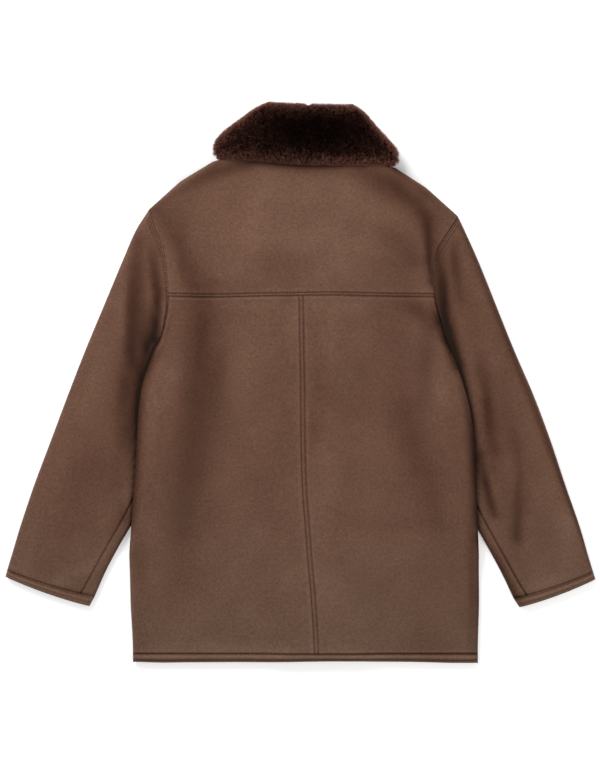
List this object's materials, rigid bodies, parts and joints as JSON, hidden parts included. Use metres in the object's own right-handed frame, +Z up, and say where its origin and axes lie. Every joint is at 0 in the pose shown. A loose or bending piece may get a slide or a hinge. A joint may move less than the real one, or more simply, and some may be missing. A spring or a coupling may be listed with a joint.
{
  "type": "shearling coat",
  "caption": "Hip-length shearling coat laid flat on its front: leather yoke and back with centre seam, splayed sleeves, bound cuffs and hem, dark fur collar.",
  "frame": {"origin": "centre of the bounding box on the plane that the coat lies on", "axes": "+Z up, out of the coat's back; +Y from hem to collar; +X towards the sleeve on the picture's right, across the width from cuff to cuff"},
  "size_m": [0.944, 0.894, 0.0402],
  "materials": {
    "leather": "smooth brown nappa face of shearling, fine grain, soft satin sheen",
    "band_leather": "the same leather on the cuff and hem bands and the collar stand",
    "fur": "dense short curly fur, near black brown with redder tips"
  },
  "bodies": {
    "root": {"back_yoke": "leather", "back_left": "leather", "back_right": "leather", "front_left": "leather", "front_right": "leather", "sleeve_left_top": "leather", "sleeve_left_under": "leather", "sleeve_right_top": "leather", "sleeve_right_under": "leather", "cuff_left": "band_leather", "cuff_right": "band_leather", "hem_band_back": "band_leather", "hem_band_front_left": "band_leather", "hem_band_front_right": "band_leather", "collar_left": "fur", "collar_right": "fur", "collar_stand": "band_leather"}
  },
  "joints": []
}
